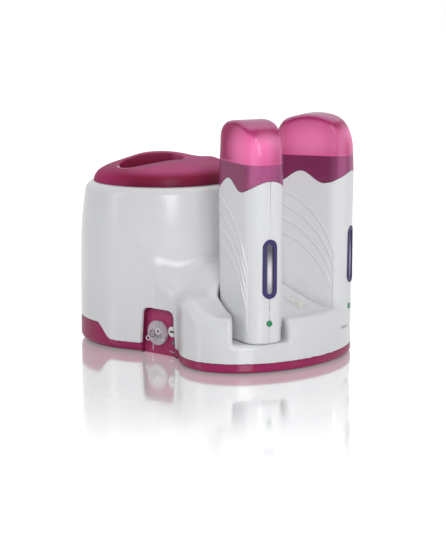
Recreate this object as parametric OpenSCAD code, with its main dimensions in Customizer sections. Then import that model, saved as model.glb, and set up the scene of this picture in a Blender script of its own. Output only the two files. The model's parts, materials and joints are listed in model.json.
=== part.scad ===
// Combination wax heater: a lidded barrel that warms a tin of wax, joined by
// a low waist to an oval dock in which two roll-on cartridge heaters stand.
// The handsets lift out of their pockets and their caps lift off.
// +X runs from the barrel to the dock, the thermostat faces -Y, +Z is up.
// The origin is under the middle of the whole heater.

/* [Barrel] */
// Distance of the barrel's axis behind the origin
pot_back = 60; // [58:0.5:64]
// Largest radius of the barrel
pot_r = 81.5; // [78:0.5:85]
// Height at which the barrel starts to draw in
pot_draw_z = 60; // [40:1:80]
// How far the barrel draws in towards its rim
pot_draw = 7; // [3:0.5:8]
// Height of the barrel's rim
rim_z = 157.4; // [150:0.2:170]
// Rounding of the barrel's shoulder
shoulder_r = 8; // [5:0.5:9]
// Width of the rim between the barrel's side and its mouth
rim_w = 15.5; // [15:0.5:17]

/* [Dock] */
// Distance of the dock's centre ahead of the origin
dock_x = 74; // [70:0.5:76]
// Half of the dock's length
dock_p = 67.5; // [65:0.5:72]
// Half of the dock's width
dock_q = 97; // [92:0.5:104]
// Half of the waist's width
waist_y = 70; // [69:0.5:74]
// Height of the deck against the barrel
deck_back_z = 88; // [80:1:96]
// Height of the island between the handsets, at the front
deck_front_z = 48; // [44:0.5:54]
// Height of the shoulders beside the handsets, at the back
side_back_z = 66; // [60:1:72]
// Height of the shoulders beside the handsets, at the front
side_front_z = 51; // [46:0.5:56]
// Height to which the waist's crest sweeps up the barrel
crest_z = 104; // [95:1:112]
// Rounding of the dock's front edge
edge_r = 8; // [5:0.5:10]
// Wall of the housing
wall = 2.5; // [2:0.1:3]

/* [Base] */
// Height of the feet under the pan
foot_h = 1; // [0.8:0.1:2]
// Height of the seam between housing and pan
seam_z = 9.6; // [8:0.2:12]
// Height of that seam round the back of the barrel
seam_back_z = 24.5; // [20:0.5:30]
// Thickness of the pan's floor
pan_floor = 2.5; // [2:0.1:3.5]
// Radius of a foot
foot_r = 8; // [5:0.5:10]

/* [Controls] */
// Half width of the control recess at its foot
recess_w = 22; // [21:0.5:24]
// Height of the control recess
recess_z = 44.5; // [42:0.5:50]
// Distance of the control panel from the middle plane
panel_y = 64.5; // [62:0.5:65.5]
// Radius of the thermostat dial
dial_r = 11.8; // [10:0.1:12.2]
// Thickness of the thermostat dial
dial_t = 4.4; // [3:0.2:6]
// Position of the dial along the waist
dial_x = -3.3; // [-4:0.1:-3]
// Height of the dial's axis
dial_z = 21.3; // [20:0.1:23]
// Radius of the dial's spindle
spindle_r = 3; // [2:0.1:3.5]
// Radius of the push button
button_r = 5; // [4:0.1:5.2]
// Travel of the push button
button_travel = 1.5; // [1:0.1:1.6]
// Length of the rocker switch's frame
rocker_l = 19; // [17:0.5:21]
// Width of the rocker switch's frame
rocker_w = 13; // [11:0.5:14]

/* [Handsets] */
// Length of a handset, front to back
hand_l = 72.6; // [70:0.2:76]
// Width of a handset
hand_w = 37.8; // [36:0.2:40]
// Rounding of a handset's corners
hand_r = 15.6; // [13:0.2:17]
// Distance of a handset's axis ahead of the origin
hand_x = 94.3; // [92:0.1:96]
// Distance of a handset's axis from the middle plane
hand_y = 45.8; // [44:0.1:48]
// Angle by which the handsets splay outwards
splay = 20.4; // [18:0.2:22]
// Height of the pockets' floors
pocket_z = 27; // [25:0.5:30]
// Clearance between a handset and its pocket
pocket_gap = 2; // [1.5:0.1:2.5]
// Height of a handset's top over the floor the heater stands on
top_z = 228; // [220:0.5:236]
// Mean height of the wavy seam under the cap
wave_z = 169.5; // [166:0.5:174]
// Height of that wave, from its middle to a peak
wave_h = 5.5; // [3:0.5:6]
// Wall of a handset and of its cap
hand_wall = 2; // [1.8:0.1:2.4]
// Height to which the collar stands up inside the cap
collar_z = 190; // [184:0.5:196]
// Radius of the cap's arched crown
crown_r = 46; // [44:1:60]
// Rounding of the crown's two ends
crown_end_r = 14; // [10:0.5:15]
// Length of the level window's bezel
window_l = 54; // [44:0.5:58]
// Width of the level window's bezel
window_w = 14.6; // [12:0.2:16]
// Height of the middle of the level window
window_z = 96.3; // [92:0.1:100]
// Height of the indicator lamp
led_z = 46.4; // [44:0.1:50]
// Radius of the indicator lamp
led_r = 2.6; // [2:0.1:3]

/* [Wax well] */
// Width of the ring between the barrel's mouth and the aluminium well
ring_w = 8.5; // [7.5:0.5:12]
// Height of the well's floor over the table
well_z = 31; // [30:0.5:40]
// Thickness of the well's metal
well_t = 1.5; // [1:0.1:2]
// Height of the band heater
band_h = 34; // [20:1:45]

/* [Lid] */
// How far the lid reaches over the rim round the mouth
lid_over = 1.8; // [1.2:0.1:2.5]
// Width of the lid's rounded side, from its rim in to the crease
lid_side_w = 13.8; // [12:0.2:16]
// Height of that crease over the rim
lid_crease_h = 16; // [14:0.5:17]
// Height of the lid's top over the rim
lid_h = 28; // [26:0.5:32]
// Wall of the lid
lid_wall = 2.5; // [2:0.1:3]
// Half width of the grip bar between the two finger scoops
grip_half = 10; // [8:0.5:14]
// Angle of the grip bar round the lid
grip_turn = 42; // [0:1:90]
// Depth of the scoops' floor under the lid's top
scoop_depth = 23; // [18:0.5:24]

/* [Hidden] */
$fn = 64;

white = "#e4e6e8";
raspberry = "#9c3a66";
front = -1;
rear = 1;
big = 400;              // reach of a cutting block
eps = 0.02;             // overlap that keeps a cut clean
slip = 0.3;             // gap between pieces that part by hand
fit = 0.1;              // gap between a fixed piece and its seat
running = 0.05;         // radial clearance of a turning shaft

// ---------------------------------------------------------------- shared shapes

function smooth(t) = let (s = min(1, max(0, t))) s * s * (3 - 2 * s);
function arc(cx, cy, r, a0, a1, steps) =
    [for (i = [0:steps]) let (a = a0 + (a1 - a0) * i / steps) [cx + r * cos(a), cy + r * sin(a)]];
// Drop of a rounded edge at a distance d inside the outline
function edge_drop(d, r) = d >= r ? 0 : r - sqrt(max(0, r * r - (r - d) * (r - d)));
function from_to(a, b, steps) = [for (i = [0:steps]) a + (b - a) * i / steps];

// Extrudes an X-Z drawing across the whole width
module across(reach = big) {
    rotate([90, 0, 0]) linear_extrude(height = reach, center = true) children();
}

module round_rect(l, w, r) {
    square([l - 2 * r, w], center = true);
    square([l, w - 2 * r], center = true);
    for (x = [-1, 1], y = [-1, 1]) translate([x * (l / 2 - r), y * (w / 2 - r)]) circle(r);
}

// ---------------------------------------------------------------- housing form

dock_front = dock_x + dock_p;
deck_slope_from = 30;           // X where the deck leaves its upper level
deck_slope_to = 130;            // X where it reaches its lower level
side_slope_from = 50;
side_slope_to = 92;
crest_from = -25;               // X where the crest meets the barrel
crest_to = 30;
deck_flat_y = 22;               // half width of the deck's level middle
deck_fall = 0.58;               // fall of the deck towards its sides
deck_steps = 20;

mouth_r = pot_r - rim_w;
well_r = mouth_r - ring_w;
function pot_radius(z) = pot_r - pot_draw * pow(max(0, z - pot_draw_z) / (rim_z - pot_draw_z), 3);
function barrel_profile(inset) = let (
        turn_z = rim_z - shoulder_r,
        round_r = shoulder_r - inset,
        round_x = pot_radius(turn_z) - shoulder_r)
    concat([[0, 0], [pot_r - inset, 0]],
        [for (z = from_to(pot_draw_z, turn_z, 7)) [pot_radius(z) - inset, z]],
        [for (p = arc(round_x, turn_z, round_r, 15, 90, 5)) p],
        [[0, rim_z - inset]]);

function deck_z(x) = deck_back_z
    - (deck_back_z - deck_front_z) * smooth((x - deck_slope_from) / (deck_slope_to - deck_slope_from));
function side_z(x) = x < crest_to
    ? side_back_z + (crest_z - side_back_z)
        * pow(min(1, (crest_to - x) / (crest_to - crest_from)), 1.6)
    : side_back_z - (side_back_z - side_front_z)
        * smooth((x - side_slope_from) / (side_slope_to - side_slope_from));

function dock_outline(inset) = [for (i = [0:71]) let (a = i * 5)
    [dock_x + (dock_p - inset) * cos(a), (dock_q - inset) * sin(a)]];

module low_plan(inset) {
    polygon(dock_outline(inset));
    translate([-pot_back, inset - waist_y]) square([pot_back + dock_x, 2 * (waist_y - inset)]);
}

neck_run = 28.3;                // the island's neck stands this far behind the handsets' axes
neck_in = 8;                    // the deck's middle is this much narrower than the waist ahead of it

// The higher middle of the deck: it narrows to the island between the pockets
module island_plan(inset) {
    half = waist_y - inset;
    neck_x = hand_x - neck_run;
    back = hand_y - neck_run * tan(splay) - inset;
    tip = hand_y + (dock_front - hand_x) * tan(splay) - inset;
    polygon([[-pot_back, -half], [side_slope_from, neck_in - half], [neck_x, -back], [dock_front, -tip],
        [dock_front, tip], [neck_x, back], [side_slope_from, half - neck_in], [-pot_back, half]]);
}

// Side view under a top line, with the front edge rounded
module side_view(heights, inset) {
    edge = dock_front - inset;
    r = edge_r - inset / 2;
    xs = concat(from_to(-pot_back, edge - r, deck_steps), [for (a = [15:15:90]) edge - r + r * sin(a)]);
    polygon(concat([[-pot_back, 0]],
        [for (x = xs) [x, (heights == "deck" ? deck_z(x) : side_z(x)) - inset - edge_drop(edge - x, r)]],
        [[edge, 0]]));
}

module housing_form(inset) {
    translate([-pot_back, 0, 0]) rotate_extrude() polygon(barrel_profile(inset));
    intersection() {
        linear_extrude(height = crest_z) low_plan(inset);
        across() side_view("side", inset);
    }
    intersection() {
        linear_extrude(height = crest_z) intersection() {
            low_plan(inset);
            island_plan(inset);
        }
        across() side_view("deck", inset);
        rotate([90, 0, 90]) linear_extrude(height = big, center = true)
            polygon([[-waist_y, 0], [-waist_y, deck_back_z - inset - deck_fall * (waist_y - deck_flat_y)],
                [-deck_flat_y, deck_back_z - inset], [deck_flat_y, deck_back_z - inset],
                [waist_y, deck_back_z - inset - deck_fall * (waist_y - deck_flat_y)], [waist_y, 0]]);
    }
}

// X-Z area below the seam, which steps up round the back of the barrel
seam_step_from = -72;
seam_step_to = -52;
module below_seam(lift = 0) {
    across() polygon(concat([[-big, -1], [-big, seam_back_z + lift]],
        [for (x = from_to(seam_step_from, seam_step_to, 8))
            [x, lift + seam_back_z - (seam_back_z - seam_z)
                * smooth((x - seam_step_from) / (seam_step_to - seam_step_from))]],
        [[big, seam_z + lift], [big, -1]]));
}

// ---------------------------------------------------------------- control recess

tray_wall = 2;
recess_corner = 7;
recess_lean = 3;            // how much narrower the recess is at its top

module recess_drawing(grow) {
    foot = recess_w + grow;
    top = recess_w - recess_lean + grow;
    r = recess_corner + grow;
    z = recess_z + grow;
    polygon(concat([[foot, 0]], arc(top - r, z - r, r, 0, 90, 6), arc(r - top, z - r, r, 90, 180, 6),
        [[-foot, 0]]));
}

module recess(grow, depth_y) {
    translate([0, -depth_y, 0]) rotate([90, 0, 0]) linear_extrude(height = big / 4)
        recess_drawing(grow);
}

// Places a drawing on the panel: local X along +X, local Z out of the panel
module on_panel(x, z) {
    translate([x, -panel_y, z]) rotate([90, 0, 0]) children();
}

panel_t = 2.5;
bush_r = 5;
button_x = dial_x + dial_r + button_r + 0.8;
button_z = dial_z + 3;
lamp_x = button_x + 1.2;
lamp_z = button_z - 10.6;
lamp_r = 2;

// ---------------------------------------------------------------- base

screw_r = 1.5;
screw_head_r = 3;
boss_r = 4;
boss_pot_r = pot_r - wall - boss_r - fit;       // bosses stand just inside the barrel's wall
boss_pot_angle = 135;
boss_dock_x = dock_x - 12;
boss_dock_y = dock_q - wall - boss_r - 9;
foot_seat = 0.8;
boss_foot_z = foot_h + pan_floor;

function boss_places() = [
    for (s = [-1, 1]) [-pot_back + boss_pot_r * cos(boss_pot_angle), s * boss_pot_r * sin(boss_pot_angle)],
    for (s = [-1, 1]) [boss_dock_x, s * boss_dock_y]];
function foot_places() = [
    for (s = [-1, 1]) [-pot_back - pot_r / 2, s * pot_r / 2],
    for (s = [-1, 1]) [dock_x + dock_p / 3, s * dock_q * 0.62]];

module pan_plan(inset) {
    translate([-pot_back, 0]) circle(pot_r - inset);
    low_plan(inset);
}

module base_pan() color(raspberry) difference() {
    union() {
        intersection() {
            union() {
                translate([0, 0, foot_h]) linear_extrude(height = 1.2) pan_plan(2.4);
                translate([0, 0, foot_h + 1.2]) linear_extrude(height = 1.6) pan_plan(1);
                translate([0, 0, foot_h + 2.8]) linear_extrude(height = seam_back_z) pan_plan(0);
            }
            below_seam();
        }
        intersection() {
            housing_form(wall + fit);
            difference() {
                recess(tray_wall, panel_y - panel_t);
                below_seam();
            }
        }
    }
    difference() {
        translate([0, 0, boss_foot_z]) linear_extrude(height = seam_back_z) pan_plan(wall);
        recess(tray_wall, panel_y - panel_t);
    }
    recess(0, panel_y);
    on_panel(dial_x, dial_z) cylinder(r = bush_r + fit, h = 4 * panel_t, center = true);
    on_panel(button_x, button_z) cylinder(r = button_r + slip, h = 4 * panel_t, center = true);
    on_panel(lamp_x, lamp_z) cylinder(r = lamp_r + fit, h = 4 * panel_t, center = true);
    for (p = boss_places()) translate([p[0], p[1], 0]) {
        cylinder(r = screw_r + fit, h = big / 4);
        cylinder(r = screw_head_r + fit, h = foot_h + 1);
    }
    for (p = foot_places()) translate([p[0], p[1], 0]) cylinder(r = foot_r + fit, h = foot_h + foot_seat);
}

module feet() color("#303033") for (p = foot_places()) translate([p[0], p[1], 0])
    cylinder(r = foot_r, h = foot_h + foot_seat);

screw_len = 14;
module base_screws() color("silver") for (p = boss_places()) translate([p[0], p[1], foot_h + fit]) {
    cylinder(r = screw_head_r, h = 1 - fit);
    cylinder(r = screw_r, h = screw_len);
}

// ---------------------------------------------------------------- pockets

// Places a handset's own frame: X to its front, -Y to the outside of the dock
module at_hand(side) {
    mirror([0, side == rear ? 1 : 0, 0]) translate([hand_x, -hand_y, 0]) rotate([0, 0, -splay])
        children();
}

mouth_from = 2;                 // where the outer cheek of a pocket starts to open
mouth_open = 11;                // how far it opens at the dock's outline
mouth_reach = 25.4;
pad_x = 10;                     // distance of a charging pad from the handset's axis
pad_r = 3;
pin_r = 1.5;

module pocket_plan(grow) {
    gap = pocket_gap + grow;
    half = hand_w / 2 + gap;
    round_rect(hand_l + 2 * gap, hand_w + 2 * gap, hand_r + gap);
    polygon([[mouth_from - grow, 0], [mouth_from - grow, -half], [mouth_reach, -half - mouth_open],
        [hand_l, -half - mouth_open], [hand_l, half], [mouth_from - grow, half]]);
}

module pocket(side, grow) {
    at_hand(side) translate([0, 0, pocket_z - grow]) linear_extrude(height = crest_z) pocket_plan(grow);
}

block_h = 9;
block_l = 30;
block_w = 12;

module contact_block(side) color("#4a4c50") at_hand(side) difference() {
    translate([-block_l / 2, -block_w / 2, pocket_z - wall - block_h]) cube([block_l, block_w, block_h]);
    for (s = [-1, 1]) translate([s * pad_x, 0, 0]) cylinder(r = pin_r + fit, h = pocket_z);
}

module dock_pins(side) color("#c9a24a") at_hand(side) for (s = [-1, 1])
    translate([s * pad_x, 0, pocket_z - wall - block_h]) cylinder(r = pin_r, h = wall + block_h + slip / 2);

// ---------------------------------------------------------------- upper shell

rocker_x = 105.5;
rocker_y = 6.5;
rocker_tilt = atan((deck_z(rocker_x - 1) - deck_z(rocker_x + 1)) / 2);    // fall of the deck there
rocker_depth = 12;
rocker_lip = 1.2;
rocker_rim = 1;                 // how far the frame's lip reaches over the deck
inlet_l = 20;
inlet_h = 12;
inlet_z = 20;
inlet_depth = 14;
inlet_lip = 1.5;
inlet_gap = 9.8;                // between the inlet's lip and the barrel's share of the waist
barrel_zone_gap = 0.5;          // the barrel and the dock part on a cylinder this far outside the barrel
inlet_x = sqrt(pow(pot_r + barrel_zone_gap, 2) - waist_y * waist_y) - pot_back
    + inlet_l / 2 + inlet_lip + inlet_gap;
pin_gap = 8.6;                  // distance between the inlet's two pins
pilot_r = screw_r + running;

module at_rocker() {
    translate([rocker_x, rocker_y, deck_z(rocker_x)]) rotate([0, rocker_tilt, 0]) children();
}

// Pilot hole up each screw boss
module pilots() {
    for (p = boss_places()) translate([p[0], p[1], 0])
        cylinder(r = pilot_r, h = foot_h + fit + screw_len + 2);
}

module housing_skin() difference() {
    housing_form(0);
    housing_form(wall);
}

module barrel_zone() {
    translate([-pot_back, 0, 0]) cylinder(r = pot_r + barrel_zone_gap, h = big / 2);
}

// Two screw bosses stand off the barrel's wall on ribs
rib_t = 3;
boss_pot_h = 20;
module barrel_bosses() {
    for (p = boss_places()) if (p[0] < 0) translate([p[0], p[1], boss_foot_z])
        cylinder(r = boss_r, h = seam_back_z + boss_pot_h - boss_foot_z);
    for (s = [-1, 1]) translate([-pot_back, 0, seam_back_z + fit]) rotate([0, 0, s * boss_pot_angle])
        translate([boss_pot_r, -rib_t / 2, 0]) cube([pot_r - wall / 2 - boss_pot_r, rib_t, boss_pot_h - fit]);
}

module barrel_shell() color(white) difference() {
    union() {
        difference() {
            intersection() {
                housing_skin();
                barrel_zone();
            }
            below_seam();
        }
        barrel_bosses();
    }
    recess(0, panel_y - 2 * panel_t);
    translate([-pot_back, 0, rim_z - shoulder_r]) cylinder(r = mouth_r, h = 2 * shoulder_r);
    pilots();
}

// Two more bosses hang from the dock's shoulders
module dock_bosses() {
    for (p = boss_places()) if (p[0] > 0) translate([p[0], p[1], boss_foot_z])
        cylinder(r = boss_r, h = side_z(p[0]) - wall / 2 - boss_foot_z);
}

rocker_seat = 1;                // margin of the flat seat round the switch's frame
seat_rim = rocker_rim + rocker_seat;
module dock_shell() color(white) difference() {
    union() {
        difference() {
            housing_skin();
            below_seam();
        }
        dock_bosses();
    }
    barrel_zone();
    for (s = [front, rear]) pocket(s, wall);
    recess(0, panel_y - 2 * panel_t);
    at_rocker() {
        translate([-rocker_l / 2, -rocker_w / 2, -big / 16]) cube([rocker_l, rocker_w, big / 8]);
        translate([-rocker_l / 2 - seat_rim, -rocker_w / 2 - seat_rim, 0])
            cube([rocker_l + 2 * seat_rim, rocker_w + 2 * seat_rim, big / 16]);
    }
    translate([inlet_x - inlet_l / 2, waist_y - 2 * wall, inlet_z - inlet_h / 2])
        cube([inlet_l, 4 * wall, inlet_h]);
    pilots();
}

module pocket_liner(side) color(white) difference() {
    intersection() {
        pocket(side, wall);
        housing_form(0);
    }
    pocket(side, 0);
    at_hand(side) for (k = [-1, 1]) translate([k * pad_x, 0, 0]) cylinder(r = pin_r + fit, h = crest_z);
}

// ---------------------------------------------------------------- wax well

ledge_t = 2;
flange_z = rim_z - 7.2;                     // underside of the well's flange
ring_in_r = mouth_r - 2.2;
flange_r = ring_in_r - slip;
ring_hook_r = mouth_r + 1;

module rim_ring() color("#d9dadd") translate([-pot_back, 0, 0]) rotate_extrude() polygon([
    [well_r + well_t + fit, flange_z - ledge_t], [mouth_r - fit, flange_z - ledge_t],
    [mouth_r - fit, rim_z - wall - 2], [ring_hook_r, rim_z - wall - 2], [ring_hook_r, rim_z - wall],
    [mouth_r - fit, rim_z - wall], [mouth_r - fit, rim_z - slip], [ring_in_r, rim_z - slip],
    [ring_in_r, flange_z], [well_r + well_t + fit, flange_z]]);

module wax_well() color("#b9bcc0") translate([-pot_back, 0, 0]) rotate_extrude() polygon([
    [0, well_z - well_t], [well_r + well_t, well_z - well_t], [well_r + well_t, flange_z],
    [flange_r, flange_z], [flange_r, flange_z + well_t], [well_r, flange_z + well_t],
    [well_r, well_z], [0, well_z]]);

band_z = well_z + 10;
band_t = 2.5;
sleeve_t = 5;
band_r = well_r + well_t + fit;
sleeve_r = band_r + band_t + fit;

module tube(r_in, t, h) difference() {
    cylinder(r = r_in + t, h = h);
    translate([0, 0, -1]) cylinder(r = r_in, h = h + 2);
}

module band_heater() color("#8c8f94") translate([-pot_back, 0, band_z]) tube(band_r, band_t, band_h);

module heat_sleeve() color("#c9c3b4") translate([-pot_back, 0, band_z]) tube(sleeve_r, sleeve_t, band_h);

fuse_r = 8;
fuse_h = 6;
module thermal_fuse() color("#a7adb3") translate([-pot_back, 0, well_z - well_t - fuse_h - fit])
    cylinder(r = fuse_r, h = fuse_h);

// ---------------------------------------------------------------- controls

stat_w = 25;
stat_d = 15;
module thermostat() color("#3f4246") {
    on_panel(dial_x, dial_z) difference() {
        union() {
            translate([-stat_w / 2, -stat_w / 2 + 2, -panel_t - stat_d - fit]) cube([stat_w, stat_w, stat_d]);
            translate([0, 0, -panel_t - stat_d / 2]) cylinder(r = bush_r, h = panel_t + stat_d / 2);
        }
        translate([0, 0, -panel_t - stat_d + 4]) cylinder(r = spindle_r + running, h = 2 * stat_d);
    }
}

switch_w = 9;
switch_d = 12;
module button_switch() color("#2c2d30") on_panel(button_x + 1, button_z) difference() {
    translate([-switch_w / 2, -switch_w / 2, -panel_t - button_travel - switch_d])
        cube([switch_w, switch_w, switch_d + button_travel]);
    translate([-1, 0, -panel_t - button_travel - 0.5]) cylinder(r = button_r + slip, h = big / 8);
}

module panel_lamp() color("#8d8a92") on_panel(lamp_x, lamp_z) translate([0, 0, -panel_t - 3])
    cylinder(r = lamp_r, h = panel_t + 4);

knob_gap = 0.6;
knob_wall = 1.5;
tab_turn = 208;
tab_r = 2.6;
tab_hole_r = 1.3;
tab_t = 1.8;
tab_gap = 0.5;                      // least room between the tab and the recess's wall
tab_reach = min(dial_r + 1.7, recess_w - recess_lean * 0.6 + dial_x - tab_r - tab_gap);
tab_z = button_travel + 0.8;        // the tab passes in front of the push button
hub_r = spindle_r + 1.6;
spoke_t = 1.6;
spoke_root = hub_r - 0.6;           // the spokes start inside the hub
core_h = dial_t - knob_wall - fit;

module dial_knob() color("#b9b0ba") on_panel(dial_x, dial_z) {
    difference() {
        translate([0, 0, knob_gap]) cylinder(r = dial_r, h = dial_t);
        translate([0, 0, knob_gap - 1]) cylinder(r = dial_r - knob_wall, h = dial_t - knob_wall + 1);
    }
    rotate([0, 0, tab_turn]) translate([tab_reach, 0, tab_z]) difference() {
        cylinder(r = tab_r, h = tab_t);
        translate([0, 0, -1]) cylinder(r = tab_hole_r, h = tab_t + 2);
    }
}

module dial_core() color("#8a7f8c") on_panel(dial_x, dial_z) translate([0, 0, knob_gap])
    linear_extrude(height = core_h) difference() {
        union() {
            circle(hub_r);
            for (a = [0, 120, 240]) rotate(a + tab_turn) translate([spoke_root, -spoke_t / 2])
                square([dial_r - knob_wall - fit - spoke_root, spoke_t]);
        }
        circle(spindle_r + eps);
    }

spindle_top = knob_gap + core_h - 1;
module dial_spindle() color("#c7b27a") on_panel(dial_x, dial_z)
    translate([0, 0, -panel_t - stat_d / 2])
        cylinder(r = spindle_r, h = panel_t + stat_d / 2 + spindle_top);

module push_button() color("#eceeef") on_panel(button_x, button_z) translate([0, 0, -panel_t])
    cylinder(r = button_r, h = panel_t + button_travel + 0.2);

// ---------------------------------------------------------------- rocker switch

pivot_r = 1.2;
paddle_l = rocker_l - 6;
paddle_w = rocker_w - 4.4;
paddle_h = 3;
paddle_gap = 0.6;                   // room at each end of the paddle
paddle_room = 5;                    // depth of the frame's open middle
paddle_swing = 8;                   // the paddle rests tipped this far to one side

module rocker_frame() color("#dfe0dd") at_rocker() difference() {
    union() {
        translate([-rocker_l / 2 - rocker_rim, -rocker_w / 2 - rocker_rim, fit])
            cube([rocker_l + 2 * rocker_rim, rocker_w + 2 * rocker_rim, rocker_lip]);
        translate([fit - rocker_l / 2, fit - rocker_w / 2, -rocker_depth])
            cube([rocker_l - 2 * fit, rocker_w - 2 * fit, rocker_depth + fit + rocker_lip / 2]);
    }
    translate([-paddle_l / 2 - paddle_gap, -paddle_w / 2 - slip, -paddle_room])
        cube([paddle_l + 2 * paddle_gap, paddle_w + 2 * slip, 2 * paddle_room]);
    rotate([90, 0, 0]) cylinder(r = pivot_r + running, h = paddle_w + 3, center = true);
}

module rocker() color("#efeadb") at_rocker() rotate([0, -paddle_swing, 0]) {
    rotate([90, 0, 0]) linear_extrude(height = paddle_w, center = true)
        polygon([[-paddle_l / 2, 1.2], [-paddle_l / 2, paddle_h], [0, paddle_h - 0.9],
            [paddle_l / 2, paddle_h], [paddle_l / 2, 1.2], [0, -3.2]]);
    rotate([90, 0, 0]) cylinder(r = pivot_r, h = paddle_w + 2.6, center = true);
}

// ---------------------------------------------------------------- supply

board_z = boss_foot_z + 4;
board_t = 1.6;
board_l = 44;
board_w = 30;
board_x = dock_x - 6;
post_r = 2.5;
post_in = 4;                // distance of the posts from the board's edges
coil_l = 20;
coil_h = 14;
module supply_board() color("#3d7a52") translate([board_x, 0, 0]) {
    translate([-board_l / 2, -board_w / 2, board_z]) cube([board_l, board_w, board_t]);
    for (x = [-1, 1], y = [-1, 1])
        translate([x * (board_l / 2 - post_in), y * (board_w / 2 - post_in), boss_foot_z])
            cylinder(r = post_r, h = board_z - boss_foot_z + eps);
    translate([-coil_l + 2, -coil_l / 2, board_z + board_t - eps]) cube([coil_l, coil_l, coil_h]);
}

terminal_l = 24;
module terminal_block() color("#e7e3d6") translate([-terminal_l / 2, terminal_l / 2, boss_foot_z])
    cube([terminal_l, 14, 12]);

inlet_hole_r = 3.7;
module mains_inlet() color("#26272a") translate([inlet_x, waist_y, inlet_z]) difference() {
    union() {
        translate([fit - inlet_l / 2, -inlet_depth, fit - inlet_h / 2])
            cube([inlet_l - 2 * fit, inlet_depth + 0.5, inlet_h - 2 * fit]);
        translate([-inlet_l / 2 - inlet_lip, 0, -inlet_h / 2 - inlet_lip])
            cube([inlet_l + 2 * inlet_lip, 1.2, inlet_h + 2 * inlet_lip]);
    }
    rotate([-90, 0, 0]) translate([0, 0, inlet_lip - inlet_depth]) linear_extrude(height = inlet_depth) {
        for (s = [-1, 1]) translate([s * (pin_gap / 2 - 0.7), 0]) circle(inlet_hole_r);
        square([pin_gap - 1.4, 2 * inlet_hole_r - 1], center = true);
    }
}

module inlet_pins() color("#c9a24a") for (s = [-1, 1])
    translate([inlet_x + s * pin_gap / 2, waist_y + inlet_lip - inlet_depth, inlet_z]) rotate([-90, 0, 0])
        cylinder(r = 1.2, h = inlet_depth - 5);

// ---------------------------------------------------------------- lid

lid_z = rim_z + slip;
lid_r = mouth_r + lid_over;
lid_crease_r = lid_r - lid_side_w;
lid_skirt_r = ring_in_r - 2 * slip;
lid_skirt_h = 4.6;
side_power = 1.3;               // above 1 the lid's side leans in sooner
skirt_t = 1.8;
crown_z = lid_z + lid_h;
// Radius of the sphere that runs from the crease to the lid's top
lid_rise = lid_h - lid_crease_h;
lid_sphere_r = (lid_crease_r * lid_crease_r + lid_rise * lid_rise) / (2 * lid_rise);

function lid_side(inset) = [for (t = from_to(0, 1, 8))
    [lid_crease_r + (lid_r - lid_crease_r) * pow(cos(90 * t), side_power) - inset,
        lid_z + lid_crease_h * sin(90 * t) - inset * t]];
function lid_top(inset) = [for (t = from_to(1, 0, 10)) let (r = (lid_crease_r - inset) * t)
    [r, crown_z - inset - lid_sphere_r + sqrt(lid_sphere_r * lid_sphere_r - r * r)]];

module lid_solid(inset) {
    translate([-pot_back, 0, 0]) rotate_extrude()
        polygon(concat([[0, lid_z]], lid_side(inset), lid_top(inset)));
}

scoop_big_r = 23;           // round outer end of a finger scoop
scoop_small_r = 9;          // and its narrow end
scoop_big = [-20, 20];
scoop_small = [10, 18];

// Teardrop outline of a scoop, straight along the grip bar
module scoop_plan(grow) intersection() {
    union() {
        translate(scoop_big) circle(scoop_big_r + grow);
        translate(scoop_small) circle(scoop_small_r + grow);
        along = scoop_small - scoop_big;
        lean = atan2(along[1], along[0]);
        open = acos((scoop_big_r - scoop_small_r) / norm(along));
        a = lean + open;
        b = lean - open;
        polygon([scoop_big, scoop_big + (scoop_big_r + grow) * [cos(a), sin(a)],
            scoop_small + (scoop_small_r + grow) * [cos(a), sin(a)], scoop_small,
            scoop_small + (scoop_small_r + grow) * [cos(b), sin(b)],
            scoop_big + (scoop_big_r + grow) * [cos(b), sin(b)]]);
    }
    translate([-big / 2, grip_half - grow]) square(big);
}

module scoops(grow) {
    for (turn = [0, 180]) translate([-pot_back, 0, crown_z - scoop_depth - grow])
        rotate([0, 0, grip_turn + turn]) mirror([0, 1, 0])
            linear_extrude(height = big / 4) scoop_plan(grow);
}

module lid() color(raspberry) difference() {
    union() {
        difference() {
            lid_solid(0);
            translate([0, 0, -eps]) lid_solid(lid_wall);
        }
        intersection() {
            lid_solid(0);
            scoops(lid_wall);
        }
    }
    scoops(0);
}

// Radius just inside the lid's wall, so high over its foot
function inside_lid_r(up) = let (p = lid_side(lid_wall))
    p[0][0] + (p[1][0] - p[0][0]) * up / (p[1][1] - p[0][1]) - fit;

// Ring under the lid that centres it in the barrel's mouth
module lid_skirt() color("#8a3058") translate([-pot_back, 0, 0]) rotate_extrude() polygon([
    [lid_skirt_r - skirt_t, lid_z - lid_skirt_h], [lid_skirt_r, lid_z - lid_skirt_h], [lid_skirt_r, lid_z],
    [inside_lid_r(0), lid_z], [inside_lid_r(skirt_t), lid_z + skirt_t],
    [lid_skirt_r - skirt_t, lid_z + skirt_t]]);

// ---------------------------------------------------------------- handsets

hand_z = pocket_z + slip;
corner_flat = hand_l / 2 - hand_r;
collar_inset = hand_wall + slip;
collar_wall = 2;
collar_down = 24;                   // the collar reaches this far below the seam
collar_foot = wave_z - collar_down;
chamber_end_gap = 9.3;              // room round the chamber at the handset's ends
chamber_side_gap = 4.9;             // and at its broad sides
chamber_l = hand_l - 2 * chamber_end_gap;
chamber_w = hand_w - 2 * chamber_side_gap;
chamber_r = 8;
chamber_t = 1.2;
chamber_up = 30;                    // height of the chamber's floor over the handset's
chamber_z = hand_z + chamber_up;
led_board_x = hand_l / 2 - 6.5;

module hand_plan(inset) {
    round_rect(hand_l - 2 * inset, hand_w - 2 * inset, hand_r - inset);
}

// Height of the wavy seam: four waves run round the handset's outline
quarter_run = corner_flat + hand_r * PI / 2 + hand_w / 2 - hand_r;
function outline_run(x) = abs(x) < corner_flat ? abs(x)
    : corner_flat + hand_r * asin(min(1, (abs(x) - corner_flat) / hand_r)) * PI / 180;
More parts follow.
